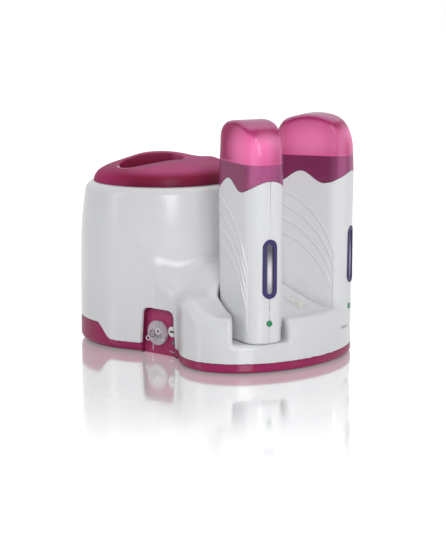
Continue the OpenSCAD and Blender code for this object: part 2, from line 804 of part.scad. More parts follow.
// It crests just behind the broad side's middle, and at the middle of both narrow sides
wave_crest = -7.2;
wave_troughs = [-29.8, 15.5];
wave_turns = [[-quarter_run, 0], [wave_troughs[0], 180], [wave_crest, 360], [wave_troughs[1], 540],
    [quarter_run, 720]];
function wave(x) = wave_z + wave_h * cos(lookup(sign(x) * outline_run(x), wave_turns));

module below_wave(lift) {
    reach = hand_l / 2 + 1;
    across(2 * hand_w) polygon(concat([[-reach, -1]],
        [for (x = from_to(-reach, reach, 40)) [x, wave(max(-hand_l / 2, min(hand_l / 2, x))) + lift]],
        [[reach, -1]]));
}

module window_drawing(l, w) {
    square([l - w, w], center = true);
    for (s = [-1, 1]) translate([s * (l - w) / 2, 0]) circle(w / 2);
}

// Stands a drawing upright at the front of a handset, extruded from x0 to x1
module on_front(z, x0, x1) {
    translate([x0, 0, z]) rotate([0, 90, 0]) linear_extrude(height = x1 - x0) children();
}

head_seat = 2;                  // depth at which a handset screw's head sits
screw_end = 2.5;                // distance of its tip from the far face
function hand_screws() = [for (x = [0, -corner_flat]) [x, hand_z + 8]];

// One half of a handset's shell; s is -1 for its outer and 1 for its inner half
module hand_half(side, s) color(white) at_hand(side) difference() {
    intersection() {
        union() {
            translate([0, 0, hand_z]) linear_extrude(height = 1.2) hand_plan(1);
            translate([0, 0, hand_z + 1.2]) linear_extrude(height = wave_z + wave_h) hand_plan(0);
        }
        below_wave(0);
        translate([-hand_l, s > 0 ? 0 : -hand_l, 0]) cube([2 * hand_l, hand_l, top_z]);
    }
    difference() {
        translate([0, 0, hand_z + hand_wall]) linear_extrude(height = top_z) hand_plan(hand_wall);
        for (p = hand_screws()) translate([p[0], 0, p[1]]) rotate([90, 0, 0])
            cylinder(r = boss_r, h = hand_w, center = true);
    }
    on_front(window_z, hand_l / 2 - 8, hand_l) window_drawing(window_l - 3, window_w - 3);
    on_front(led_z, hand_l / 2 - 8, hand_l) circle(led_r + fit);
    for (k = [-1, 1]) translate([k * pad_x, 0, 0]) cylinder(r = pad_r + fit, h = hand_z + 2 * hand_wall);
    for (p = hand_screws()) translate([p[0], 0, p[1]]) rotate([-90, 0, 0]) {
        translate([0, 0, screw_end - 1 - hand_w / 2]) cylinder(r = screw_r + fit, h = hand_w);
        translate([0, 0, hand_w / 2 - head_seat]) cylinder(r = screw_head_r + fit, h = 2 * head_seat);
    }
}

module collar(side) color("#7a4a63") at_hand(side) difference() {
    translate([0, 0, collar_foot]) linear_extrude(height = collar_z - collar_foot) hand_plan(collar_inset);
    translate([0, 0, collar_foot - 1]) linear_extrude(height = top_z) hand_plan(collar_inset + collar_wall);
}

// Aluminium chamber that the cartridge slides into, hung by its flange under the collar
module chamber(side) color("#b9bcc0") at_hand(side) difference() {
    union() {
        translate([0, 0, chamber_z]) linear_extrude(height = collar_foot - chamber_z)
            round_rect(chamber_l, chamber_w, chamber_r);
        translate([0, 0, collar_foot - chamber_t]) linear_extrude(height = chamber_t)
            hand_plan(collar_inset);
    }
    translate([0, 0, chamber_z + chamber_t]) linear_extrude(height = top_z)
        round_rect(chamber_l - 2 * chamber_t, chamber_w - 2 * chamber_t, chamber_r - chamber_t);
    on_front(window_z, 0, hand_l) window_drawing(window_l - 12, window_w - 8);
}

heater_t = 2.4;
heater_in = 11;             // distance of a heater's ends from the chamber's
heater_l = chamber_l - 2 * heater_in;
heater_h = 14;
heater_up = 18;             // height of a heater over the chamber's floor
module heater(side) color("#d8cfae") at_hand(side) for (s = [-1, 1])
    translate([-heater_l / 2, s * (chamber_w / 2 + fit) - (s < 0 ? heater_t : 0), chamber_z + heater_up])
        cube([heater_l, heater_t, heater_h]);

led_board_w = 16;
led_board_t = 1.6;
module board(side) color("#3d7a52") at_hand(side)
    translate([led_board_x - led_board_t, -led_board_w / 2, hand_z + hand_wall])
        cube([led_board_t, led_board_w, led_z - hand_z + 7]);

module led(side) color("#0e8a5a") at_hand(side) on_front(led_z, led_board_x, hand_l / 2 + 0.4)
    circle(led_r);

// The bezel follows the rounded front of the shell and stands a little proud of it
module bezel(side) color("#3f3a6b") at_hand(side) difference() {
    union() {
        intersection() {
            on_front(window_z, hand_l / 2 - 8, hand_l) window_drawing(window_l, window_w);
            difference() {
                linear_extrude(height = top_z) hand_plan(-0.8);
                linear_extrude(height = 3 * top_z, center = true) hand_plan(0);
            }
        }
        intersection() {
            on_front(window_z, hand_l / 2 - 8, hand_l)
                window_drawing(window_l - 3 - 2 * fit, window_w - 3 - 2 * fit);
            difference() {
                linear_extrude(height = top_z) hand_plan(-0.8);
                linear_extrude(height = 3 * top_z, center = true) hand_plan(hand_wall);
            }
        }
    }
    on_front(window_z, 0, hand_l) window_drawing(window_l - 8, window_w - 8);
}

module lens(side) color("#a8a4ae") at_hand(side) intersection() {
    on_front(window_z, 0, hand_l) window_drawing(window_l - 8 - 2 * fit, window_w - 8 - 2 * fit);
    difference() {
        linear_extrude(height = top_z) hand_plan(0.2);
        linear_extrude(height = 3 * top_z, center = true) hand_plan(hand_wall);
    }
}

module pads(side) color("#c9a24a") at_hand(side) for (k = [-1, 1])
    translate([k * pad_x, 0, hand_z]) cylinder(r = pad_r, h = hand_wall + 1);

module screws(side) color("silver") at_hand(side) for (p = hand_screws())
    translate([p[0], 0, p[1]]) rotate([-90, 0, 0]) {
        translate([0, 0, screw_end - hand_w / 2])
            cylinder(r = screw_r, h = hand_w - head_seat - screw_end + 1);
        translate([0, 0, hand_w / 2 - head_seat]) cylinder(r = screw_head_r, h = 1.5);
    }

// Arched side view of the cap: a wide crown arc between two tighter end arcs
module cap_view(inset) {
    end_x = hand_l / 2 - crown_end_r;
    crown_c = top_z - crown_r;
    end_z = crown_c + sqrt(pow(crown_r - crown_end_r, 2) - end_x * end_x);
    meet = atan2(end_z - crown_c, end_x);
    polygon(concat([[hand_l / 2 - inset, 0]],
        arc(end_x, end_z, crown_end_r - inset, 0, meet, 5),
        arc(0, crown_c, crown_r - inset, meet, 180 - meet, 10),
        arc(-end_x, end_z, crown_end_r - inset, 180 - meet, 180, 5),
        [[inset - hand_l / 2, 0]]));
}

module cap(side) color("#e0559a") at_hand(side) difference() {
    intersection() {
        linear_extrude(height = top_z) hand_plan(0);
        across(2 * hand_w) cap_view(0);
    }
    intersection() {
        linear_extrude(height = top_z) hand_plan(hand_wall);
        across(2 * hand_w) cap_view(hand_wall);
    }
    below_wave(slip);
}

// ---------------------------------------------------------------- the heater

base_pan();
feet();
base_screws();
barrel_shell();
dock_shell();
pocket_liner(front);  // front_pocket
pocket_liner(rear);  // rear_pocket
rim_ring();
wax_well();
band_heater();
heat_sleeve();
thermal_fuse();
thermostat();
button_switch();
panel_lamp();
terminal_block();
supply_board();
mains_inlet();
inlet_pins();
rocker_frame();
contact_block(front);  // front_contact_block
contact_block(rear);  // rear_contact_block
dock_pins(front);  // front_dock_pins
dock_pins(rear);  // rear_dock_pins
lid();
lid_skirt();
dial_knob();
dial_core();
dial_spindle();
push_button();
rocker();
hand_half(front, -1);  // front_outer_half
hand_half(front, 1);  // front_inner_half
collar(front);  // front_collar
chamber(front);  // front_chamber
heater(front);  // front_heater
board(front);  // front_board
led(front);  // front_led
bezel(front);  // front_bezel
lens(front);  // front_lens
pads(front);  // front_pads
screws(front);  // front_screws
cap(front);  // front_cap
hand_half(rear, -1);  // rear_outer_half
hand_half(rear, 1);  // rear_inner_half
collar(rear);  // rear_collar
chamber(rear);  // rear_chamber
heater(rear);  // rear_heater
board(rear);  // rear_board
led(rear);  // rear_led
bezel(rear);  // rear_bezel
lens(rear);  // rear_lens
pads(rear);  // rear_pads
screws(rear);  // rear_screws
cap(rear);  // rear_cap
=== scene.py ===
"""A lidded barrel that warms a tin of wax, and a dock with two roll-on handsets."""
import json
import math

import bpy
import numpy as np
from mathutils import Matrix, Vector


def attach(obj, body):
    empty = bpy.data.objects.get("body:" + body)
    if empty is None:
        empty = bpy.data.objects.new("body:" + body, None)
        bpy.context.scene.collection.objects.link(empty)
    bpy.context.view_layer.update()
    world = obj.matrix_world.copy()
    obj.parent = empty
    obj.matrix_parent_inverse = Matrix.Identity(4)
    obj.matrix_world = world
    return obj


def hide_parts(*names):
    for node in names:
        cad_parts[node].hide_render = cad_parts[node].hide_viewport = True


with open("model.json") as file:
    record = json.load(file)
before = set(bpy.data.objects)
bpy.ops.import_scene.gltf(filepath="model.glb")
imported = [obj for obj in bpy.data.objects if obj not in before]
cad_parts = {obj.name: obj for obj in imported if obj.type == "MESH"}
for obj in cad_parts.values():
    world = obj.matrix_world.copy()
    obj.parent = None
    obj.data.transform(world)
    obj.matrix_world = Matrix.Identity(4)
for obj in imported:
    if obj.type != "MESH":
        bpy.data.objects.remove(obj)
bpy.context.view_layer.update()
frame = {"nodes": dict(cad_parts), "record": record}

# ------------------------------------------------------------------ viewpoint
# A long lens stands to the right of the barrel's front, a little above the
# handsets, and looks down by ten degrees.
camera = bpy.data.objects.new("camera", bpy.data.cameras.new("camera"))
bpy.context.scene.collection.objects.link(camera)
camera.location = (1.1699, -1.2844, 0.3729)
camera.rotation_mode = "QUATERNION"
camera.rotation_quaternion = Vector((-0.6576, 0.7342, -0.1688)).to_track_quat("-Z", "Y")
camera.data.sensor_width = 36
camera.data.lens = 122.03
camera.data.clip_start, camera.data.clip_end = 0.1, 20
bpy.context.scene.camera = camera


# -------------------------------------------------------------------- housing
# One injection moulding in glossy white plastic: the barrel, the waist that
# sweeps up its side, and the dock with two pockets. It sits on the pan.
class Wire:
    """A socket in a material's node tree, with arithmetic that adds nodes"""

    def __init__(self, tree, socket=None):
        self.tree, self.socket = tree, socket

    def node(self, kind, settings=(), values=(), out=0):
        """Adds a node, and links or sets its inputs"""
        made = self.tree.nodes.new(kind)
        for key, value in dict(settings).items():
            setattr(made, key, value)
        for key, value in dict(values).items():
            if isinstance(value, Wire):
                self.tree.links.new(value.socket, made.inputs[key])
            else:
                made.inputs[key].default_value = value
        return Wire(self.tree, made.outputs[out])

    def maths(self, operation, a, b=0.0):
        return self.node("ShaderNodeMath", {"operation": operation}, {0: a, 1: b})

    def __add__(self, other): return self.maths("ADD", self, other)
    def __mul__(self, other): return self.maths("MULTIPLY", self, other)
    def __sub__(self, other): return self.maths("SUBTRACT", self, other)
    def __rsub__(self, other): return self.maths("SUBTRACT", other, self)
    __radd__, __rmul__ = __add__, __mul__

    def place(self):
        return self.node("ShaderNodeTexCoord", out=3)

    def millimetres(self):
        """The point's x, y and z in the heater's own frame"""
        split = self.node("ShaderNodeSeparateXYZ", values={0: self.place()}).socket.node
        return [Wire(self.tree, split.outputs[k]) * 1000 for k in range(3)]

    def step(self, value, start, end, low=0.0, high=1.0):
        """Goes softly from low to high between two values"""
        return self.node("ShaderNodeMapRange", {"interpolation_type": "SMOOTHSTEP"},
                         {"Value": value, "From Min": start, "From Max": end, "To Min": low, "To Max": high})

    def noise(self, scale, detail=2.0):
        values = {"Vector": self.place(), "Scale": scale, "Detail": detail}
        return self.node("ShaderNodeTexNoise", values=values)

    def between(self, factor, a, b):
        """Mixes two colours, each of them fixed or a socket"""
        a, b = (c if isinstance(c, Wire) else (*c, 1) for c in (a, b))
        return self.node("ShaderNodeMix", {"data_type": "RGBA"}, {0: factor, 6: a, 7: b}, 2)

    def bump(self, height, strength, distance):
        values = {"Height": height, "Strength": strength, "Distance": distance}
        return self.node("ShaderNodeBump", values=values)


def colour(code):
    """A hex colour as linear red, green and blue"""
    parts = [int(code[i:i + 2], 16) / 255 for i in (0, 2, 4)]
    return tuple(p / 12.92 if p <= 0.04045 else ((p + 0.055) / 1.055) ** 2.4 for p in parts)


def finish(name, base, rough, vary=0.05, grain=900.0, depth=0.00002, paint=None, **fixed):
    """A moulded or metal finish: a base colour that varies by a share, and a skin with a grain"""
    made = bpy.data.materials.new(name)
    made.use_nodes = True
    tree = made.node_tree
    shader = tree.nodes["Principled BSDF"]
    wire = Wire(tree)
    broad, fine = wire.noise(14.0), wire.noise(grain, 3.0)
    darker, lighter = (tuple(min(1, c * share) for c in base) for share in (1 - vary, 1 + vary))
    tone = wire.between(broad, darker, lighter)
    links = {"Base Color": tone, "Roughness": rough * 0.94 + broad * (rough * 0.12),
             "Normal": wire.bump(fine, 0.25, depth)}
    if paint:
        links.update(paint(wire, tone))
    for key, value in links.items():
        tree.links.new(value.socket, shader.inputs[key])
    for key, value in fixed.items():
        shader.inputs[key.replace("_", " ")].default_value = value
    return made


GLOSSY_WHITE = {"rough": 0.28, "vary": 0.012, "depth": 0.00001, "Coat_Weight": 0.25, "Coat_Roughness": 0.16}
white = finish("white_plastic", colour("DFE0E3"), **GLOSSY_WHITE)


def smooth(t):
    """Goes softly from 0 to 1"""
    t = np.clip(t, 0, 1)
    return t * t * (3 - 2 * t)


def blend_min(a, b, reach):
    """Joins two forms with a fillet"""
    h = np.clip(0.5 + 0.5 * (b - a) / reach, 0, 1)
    return b + (a - b) * h - reach * h * (1 - h)


def corner(a, b, radius):
    """Keeps what is in both forms, with a rounded edge"""
    u, v = a + radius, b + radius
    return np.minimum(np.maximum(u, v), 0) + np.hypot(np.maximum(u, 0), np.maximum(v, 0)) - radius


def overlap(*forms):
    """Keeps what is in every form, with sharp edges"""
    kept = forms[0]
    for form in forms[1:]:
        kept = np.maximum(kept, form)
    return kept


def skin(field, low, high, step):
    """Vertices and quads of the surface on which a field of millimetres is zero"""
    axes = [np.arange(a, b + step, step) for a, b in zip(low, high)]
    shape = [len(a) for a in axes]
    grid = np.broadcast_to(field(*np.meshgrid(*axes, indexing="ij", sparse=True)), shape)
    cells = np.array(shape) - 1
    low = np.array(low, float)

    # Where the grid's lines cross the surface, and the four cells round each crossing
    hits, owners, quads = [], [], []
    for axis in range(3):
        turned = np.moveaxis(grid, axis, 0)
        near, far = turned[:-1], turned[1:]
        cross = np.argwhere((near < 0) != (far < 0))
        a, b = near[tuple(cross.T)], far[tuple(cross.T)]
        index = np.empty_like(cross)
        index[:, [axis] + [k for k in range(3) if k != axis]] = cross
        hit = index * float(step) + low
        hit[:, axis] += step * a / (a - b)
        ring = []
        for du, dv in ((0, 0), (-1, 0), (-1, -1), (0, -1)):
            cell = index.copy()
            cell[:, (axis + 1) % 3] += du
            cell[:, (axis + 2) % 3] += dv
            ring.append(np.ravel_multi_index(cell.T, cells, mode="clip"))
        ring = np.stack(ring, 1)
        hits.append(hit)
        owners.append(ring)
        quads.append(np.where((a > 0)[:, None], ring[:, ::-1], ring))
    hits, owners, quads = np.concatenate(hits), np.concatenate(owners), np.concatenate(quads)
    used, owner = np.unique(owners, return_inverse=True)
    owner = owner.reshape(owners.shape)
    faces = np.searchsorted(used, quads)
    flat, count = owner.ravel(), np.bincount(owner.ravel())[:, None]

    def gather(v):
        """Averages over the crossings of each cell"""
        return np.stack([np.bincount(flat, v[:, k]) for k in range(3)], 1) / count

    # Each cell's point settles on the planes through its crossings, so edges stay sharp
    reach = 0.04
    normals = np.stack([field(*(hits + e).T) - field(*(hits - e).T) for e in np.eye(3) * reach], 1)
    normals = normals / np.maximum(np.linalg.norm(normals, axis=1), 1e-9)[:, None]
    points = gather(np.repeat(hits, 4, axis=0))
    middle = np.stack(np.unravel_index(used, cells), 1) * float(step) + low + step / 2
    offset = (hits * normals).sum(1)
    for _ in range(14):
        gap = offset[:, None] - np.einsum("ijk,ik->ij", points[owner], normals)
        points += 0.9 * gather((gap[:, :, None] * normals[:, None, :]).reshape(-1, 3))
    return np.clip(points, middle - 0.6 * step, middle + 0.6 * step), faces


def piece(name, points, faces, body, material, slot, replaces=()):
    """Makes a mesh from points in millimetres and sets it on its CAD body, where it may replace nodes"""
    mesh = bpy.data.meshes.new(name)
    faces = faces if isinstance(faces, list) else faces.tolist()
    mesh.from_pydata((np.asarray(points) / 1000).tolist(), [], faces)
    mesh.polygons.foreach_set("use_smooth", [True] * len(mesh.polygons))
    mesh.update()
    mesh.set_sharp_from_angle(angle=math.radians(50))
    mesh.materials.append(material)
    made = bpy.data.objects.new(name, mesh)
    bpy.context.scene.collection.objects.link(made)
    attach(made, body)
    if replaces:
        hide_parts(*replaces)


# The heater's sizes, here and in the sections below, are in millimetres
POT_X, POT_R, RIM_Z, MOUTH_R = -60.0, 81.5, 157.4, 66.0
LEAN, LEAN_Z, SHOULDER_R = 7.0, 60.0, 8.0
DOCK_X, DOCK_P, DOCK_Q, WAIST_Y = 74.0, 67.5, 97.0, 70.0
WAIST_FILLET, BARREL_FILLET = 8.0, 9.0
HAND_X, HAND_Y, SPLAY = 94.3, 45.8, math.radians(20.4)
HAND_P, HAND_Q, HAND_R = 36.3, 18.9, 15.6
POCKET_GAP, POCKET_Z, POCKET_R = 2.0, 27.0, 3.0
PANEL_Y, PANEL_WALL, LIP_Y = 64.5, 2.6, 67.4
RECESS_HALF, RECESS_TAPER, RECESS_TOP, RECESS_R = 22.0, 3.0, 44.5, 7.0
RECESS_TURN_Z = RECESS_TOP - RECESS_R
SEAM_GAP, EDGE_R = 0.15, 0.7
ROCKER_X, ROCKER_Y, ROCKER_TILT = 105.5, 6.5, math.radians(23.9)
INLET_X, INLET_Z = 4.0, 20.0
BUTTON_X, BUTTON_Z, BUTTON_ROOM = 14.3, 24.3, 6.0


def deck_height(x, y):
    """The deck falls from the waist to the dock's front, and lies lower at its sides"""
    middle = 88 - 40 * smooth((x - 30) / 100)
    side = 66 - 15 * smooth((x - 50) / 42) + 38 * np.clip((30 - x) / 55, 0, 1) ** 1.6
    return side + (middle - side) * (1 - smooth((np.abs(y) - 24) / 42))


def dock_plan(x, y):
    """An ellipse, and the straight waist that joins it to the barrel"""
    k = np.hypot((x - DOCK_X) / DOCK_P, y / DOCK_Q)
    ellipse = k * (k - 1) / np.maximum(np.hypot((x - DOCK_X) / DOCK_P ** 2, y / DOCK_Q ** 2), 1e-6)
    waist = np.maximum(np.abs(y) - WAIST_Y, np.maximum(x - DOCK_X, POT_X - x))
    return blend_min(ellipse, waist, WAIST_FILLET)


def at_hand(x, y):
    """Handset coordinates: u to its front, v to the outside of the dock"""
    a, b = x - HAND_X, np.abs(y) - HAND_Y
    return a * math.cos(SPLAY) + b * math.sin(SPLAY), b * math.cos(SPLAY) - a * math.sin(SPLAY)


def hand_plan(u, v, grow=0.0):
    """A handset's rounded rectangle"""
    a = np.abs(u) - (HAND_P - HAND_R)
    b = np.abs(v) - (HAND_Q - HAND_R)
    return np.hypot(np.maximum(a, 0), np.maximum(b, 0)) + np.minimum(np.maximum(a, b), 0) - HAND_R - grow


def recess_view(x, z):
    """The control panel's recess, seen from the front"""
    half = RECESS_HALF - RECESS_TAPER * np.clip(z, 0, RECESS_TURN_Z) / RECESS_TURN_Z
    return corner(np.abs(x) - half, z - RECESS_TOP, RECESS_R)


def seam_height(x):
    """The seam between housing and pan drops behind the barrel's middle"""
    return 24.5 - 14.9 * smooth((x + 72) / 20)


def pocket_form(x, y, z):
    """A handset's pocket, which opens to the front and flares to the outside"""
    u, v = at_hand(x, y)
    half = HAND_Q + POCKET_GAP
    mouth = overlap(2 - u, 0.905 * (v - half - 0.47 * (u - 2)), v - 31.9, -half - v)
    return corner(blend_min(hand_plan(u, v, POCKET_GAP), mouth, 2.0), POCKET_Z - z, POCKET_R), u


def housing_form(x, y, z):
    r = np.hypot(x - POT_X, y)
    wall = POT_R - LEAN * (np.clip(z - LEAN_Z, 0, 100) / (RIM_Z - LEAN_Z)) ** 3
    barrel = corner(r - wall, z - RIM_Z, SHOULDER_R)
    fall = np.sqrt(1 + (deck_height(x + 0.5, y) - deck_height(x - 0.5, y)) ** 2
                   + (deck_height(x, y + 0.5) - deck_height(x, y - 0.5)) ** 2)
    dock = corner(dock_plan(x, y), (z - deck_height(x, y)) / fall, 11 - 3 * smooth((x - 105) / 20))
    form = blend_min(barrel, dock, BARREL_FILLET)
    pocket, u = pocket_form(x, y, z)
    form = corner(form, -pocket, 2 + 3 * smooth((u - 8) / 14))
    # The recess leaves a thin lip in front, with room for the tray's wall behind it
    view, behind = recess_view(x, z), y + PANEL_Y - PANEL_WALL
    recess = np.minimum(overlap(view - 0.45, behind), overlap(view - 2.2, behind, -LIP_Y - y))
    form = corner(form, -recess, EDGE_R)
    a = (x - ROCKER_X) * math.cos(ROCKER_TILT) - (z - 54) * math.sin(ROCKER_TILT)
    slot = overlap(np.abs(a) - 9.3, np.abs(y - ROCKER_Y) - 6.3, 40 - z)
    inlet = overlap(np.abs(x - INLET_X) - 9.9, np.abs(z - INLET_Z) - 5.9, 56 - y)
    press = overlap(np.hypot(x - BUTTON_X, z - BUTTON_Z) - BUTTON_ROOM, y + 54, -66 - y)
    form = overlap(form, -slot, -inlet, -press)
    form = corner(form, MOUTH_R - r, 1.2)
    return corner(form, seam_height(x) + SEAM_GAP - z, EDGE_R)


piece("housing_skin", *skin(housing_form, (-144, -100, 8), (144, 100, 160), 1.3), "housing", white,
      "white_shell", ["barrel_shell", "dock_shell", "front_pocket", "rear_pocket"])


# ------------------------------------------------------------------- base pan
# The raspberry tray that closes the housing from below. Its upstand at the
# waist is the control panel, set back in a recess in the white wall.
def pan_tones(wire, tone):
    """The panel is paler than the tray's walls, most of all at its upper left"""
    x, y, z = wire.millimetres()
    inside = wire.maths("LESS_THAN", wire.maths("ABSOLUTE", x), 21.5)
    front = wire.maths("GREATER_THAN", y, -PANEL_Y - 0.4)
    upper_left = wire.maths("LESS_THAN", x, z * 0.8 - 14)
    return {"Base Color": wire.between(front * inside * (0.35 + 0.3 * upper_left), tone, colour("BE4C7C"))}


raspberry = finish("raspberry_plastic", colour("9C2C5C"), 0.3, vary=0.03, depth=0.00001, paint=pan_tones,
                   Coat_Weight=0.4, Coat_Roughness=0.14, Specular_IOR_Level=0.0)
DIAL_X, DIAL_Z = -3.3, 21.3
LAMP_X, LAMP_Z = 15.5, 13.7
PANEL_HOLES = [(DIAL_X, DIAL_Z, 5.1), (BUTTON_X, BUTTON_Z, 5.3), (LAMP_X, LAMP_Z, 2.1)]
SCREW_HOLE_R = 3.1
SCREW_PLACES = [(-111.9, 51.9), (-111.9, -51.9), (62.0, 81.5), (62.0, -81.5)]


def pan_form(x, y, z):
    plan = blend_min(np.hypot(x - POT_X, y) - POT_R, dock_plan(x, y), BARREL_FILLET)
    form = corner(plan, 1 - z, 6.5 - 3.5 * smooth((x + 30) / 40))
    form = corner(form, z - seam_height(x) + SEAM_GAP, EDGE_R)
    view = recess_view(x, z)
    tray = overlap(view - 2, y + PANEL_Y - 2.5, 0.1 - LIP_Y - y)
    form = corner(np.minimum(form, tray), -overlap(view, y + PANEL_Y), 0.6)
    for px, pz, r in PANEL_HOLES:
        form = overlap(form, -overlap(np.hypot(x - px, z - pz) - r, y + PANEL_Y - PANEL_WALL))
    for px, py in SCREW_PLACES:
        form = overlap(form, -overlap(np.hypot(x - px, y - py) - SCREW_HOLE_R, z - 2))
    return form


piece("base_tray", *skin(pan_form, (-144, -100, -1), (144, 100, 48), 1.3), "housing", raspberry,
      "raspberry_shell", ["base_pan"])


# ------------------------------------------------------------------------ lid
# A domed lid in the same raspberry plastic, with two finger scoops that leave
# a grip bar across its middle. It lifts off.
LID_Z, LID_FOOT_R, LID_CREASE_R, LID_CROWN_Z, LID_WALL = 157.7, 67.8, 44.6, 182.7, 2.5
SKIRT_R, SKIRT_WALL, SKIRT_Z = 61.2, 1.8, 153.1
GRIP_TURN, GRIP_HALF, SCOOP_FLOOR, SCOOP_FLOOR_R = math.radians(42), 6.5, 162.7, 7.0
# Each scoop's plan is a teardrop round two circles, along and across the bar
SCOOP_BIG, SCOOP_SMALL, SCOOP_BIG_R, SCOOP_SMALL_R = (-18.5, 19.5), (11.0, 17.0), 22.5, 9.5
SCOOP_RUN = math.hypot(SCOOP_SMALL[0] - SCOOP_BIG[0], SCOOP_SMALL[1] - SCOOP_BIG[1])
SCOOP_COS, SCOOP_SIN = ((b - a) / SCOOP_RUN for a, b in zip(SCOOP_BIG, SCOOP_SMALL))
SCOOP_LEAN = (SCOOP_BIG_R - SCOOP_SMALL_R) / math.sqrt(SCOOP_RUN ** 2 - (SCOOP_BIG_R - SCOOP_SMALL_R) ** 2)


def at_grip(x, y):
    """Distances along and across the grip bar, for numbers or sockets"""
    return ((x - POT_X) * math.cos(GRIP_TURN) + y * math.sin(GRIP_TURN),
            (x - POT_X) * math.sin(GRIP_TURN) - y * math.cos(GRIP_TURN))


def at_scoop(d, n):
    """Distances along and across the line between a scoop's two circles"""
    return ((d - SCOOP_BIG[0]) * SCOOP_COS + (n - SCOOP_BIG[1]) * SCOOP_SIN,
            (n - SCOOP_BIG[1]) * SCOOP_COS - (d - SCOOP_BIG[0]) * SCOOP_SIN)


def lid_painted_light_tones(wire, tone):
    """Painted light on the lid: a painted reflection on the dome's top, a painted highlight down one side,
    painted shade at the side's foot and in the scoops, and a painted reflection and a painted highlight on
    the scoops' near lips; the rest of the side keeps its deep colour
    """
    x, y, z = wire.millimetres()
    d, n = at_grip(x, y)
    d, n = d * wire.maths("SIGN", n), wire.maths("ABSOLUTE", n)
    p, q = at_scoop(d, n)
    q = wire.maths("ABSOLUTE", q)
    t = wire.maths("MINIMUM", wire.maths("MAXIMUM", (p - q * SCOOP_LEAN) * (1 / SCOOP_RUN), 0.0), 1.0)
    p = p - t * SCOOP_RUN
    tear = wire.maths("POWER", p * p + q * q, 0.5) + t * (SCOOP_BIG_R - SCOOP_SMALL_R) - SCOOP_BIG_R
    # painted shade: the scoops' inside is darker
    inside = (1 - wire.step(tear, -1.6, 0.6)) * wire.step(n, GRIP_HALF - 1.2, GRIP_HALF + 0.4)
    # painted reflection: the dome's top is paler
    top = wire.step(z + (d * d + n * n) * 0.0022, 175.0, 181.5)
    # painted highlight: one side of the lid is brighter
    bright = wire.step(d * -1, 20.0, 66.0) * (1 - top)
    # painted shade: the foot of the lid's side is darker
    low = wire.step(z, 160.0, 166.0, 1.0, 0.0)
    # painted reflection: the scoops' near lips are paler mauve, and a painted highlight (glint) lies on one
    # of them
    lip = wire.step(n, 20.0, 26.0) * wire.step(tear, 7.0, 14.0, 1.0, 0.0)
    lip = lip * wire.step(d, 22.0, 30.0, 1.0, 0.0)
    glint = wire.step(n, 22.0, 28.0) * wire.step(tear, 2.0, 5.0, 1.0, 0.0)
    glint = glint * wire.step(d, -16.0, -4.0, 1.0, 0.0)
    tone = wire.between(low * 0.6, tone, colour("641A38"))
    tone = wire.between(bright * 0.8, tone, colour("B42C6C"))
    tone = wire.between(top, tone, colour("B8527F"))
    tone = wire.between(lip * 0.6 * wire.step(d, -34.0, -10.0), tone, colour("8C6078"))
    tone = wire.between(glint * 0.8, tone, colour("EBD3DE"))
    return {"Base Color": wire.between(inside, tone, colour("7E1C3C"))}


lid_plastic = finish("raspberry_lid", colour("84203F"), 0.4, vary=0.03, depth=0.00001, paint=lid_painted_light_tones,
                     Coat_Weight=0.25, Coat_Roughness=0.34, Specular_IOR_Level=0.0)


def scoop_form(d, n, z):
    """The two scoops mirror each other through the lid's middle"""
    p, q = at_scoop(np.where(n > 0, d, -d), np.abs(n))
    q = np.abs(q)
    t = np.clip((p - q * SCOOP_LEAN) / SCOOP_RUN, 0, 1)
    tear = np.hypot(p - t * SCOOP_RUN, q) - SCOOP_BIG_R + t * (SCOOP_BIG_R - SCOOP_SMALL_R)
    plan = corner(tear, GRIP_HALF - np.abs(n), 2.0)
    return corner(plan, SCOOP_FLOOR - z, SCOOP_FLOOR_R)


def lid_profile(r, z, d, n):
    """A steep side meets a shallow dome in a crease, and the bar's right end stands proud"""
    left = smooth((-d - 7) / 35)
    height = 25.0 - 7.4 * smooth((1 - d) / 50)
    spread = LID_FOOT_R - LID_CREASE_R
    s = np.clip((z - LID_Z) / height, 0, 1)
    rest = np.maximum(1 - s * s, 0.02)
    side = (r - LID_CREASE_R - spread * rest ** 0.75) / np.sqrt(
        1 + (1.5 * spread * s / height) ** 2 / np.sqrt(rest))
    bend = 0.0024 + 0.0012 * left
    bar = np.clip(2.0 - 0.01 * d - 0.0022 * d * d, 0, 4)
    proud = bar * (1 - smooth((n - 8) / 12)) + 2.5 * smooth((d - 35) / 14) * np.exp(-(n / 14.5) ** 2)
    dome = (z - LID_CROWN_Z + bend * r * r - proud) / np.sqrt(1 + (2 * bend * r) ** 2)
    return corner(side, dome, 1.7)


def lid_form(x, y, z):
    r = np.hypot(x - POT_X, y)
    d, n = at_grip(x, y)
    scoop, n = scoop_form(d, n, z), np.abs(n)
    profile = lid_profile(r, z, d, n)
    form = corner(overlap(profile, LID_Z - z), -scoop, 1.6 + 3.4 * smooth((n - 16) / 14))
    form = overlap(form, -overlap(profile + LID_WALL, LID_WALL - scoop))
    ring = overlap(SKIRT_R - SKIRT_WALL - r, r - MOUTH_R, LID_Z - z, z - LID_Z - LID_WALL)
    skirt = overlap(SKIRT_R - SKIRT_WALL - r, r - SKIRT_R, SKIRT_Z - z, z - LID_Z - 1)
    return np.minimum(form, np.minimum(ring, skirt))


piece("lid_dome", *skin(lid_form, (-130, -70, 151), (10, 70, 190), 1.1), "lid", lid_plastic,
      "raspberry_lid", ["lid", "lid_skirt"])


# ------------------------------------------------------------------- handsets
# Each handset is two white half shells screwed together, with a clear pink
# cap that meets them along a wave. They taper slightly towards the foot.
hand_white = finish("handset_white", colour("E2E3E6"), **GLOSSY_WHITE)


def hand_place(wire):
    """A handset's own u, v and z in millimetres, at any point of its pieces"""
    x, y, z = wire.millimetres()
    a, b = x - HAND_X, wire.maths("ABSOLUTE", y) - HAND_Y
    return a * math.cos(SPLAY) + b * math.sin(SPLAY), b * math.cos(SPLAY) - a * math.sin(SPLAY), z


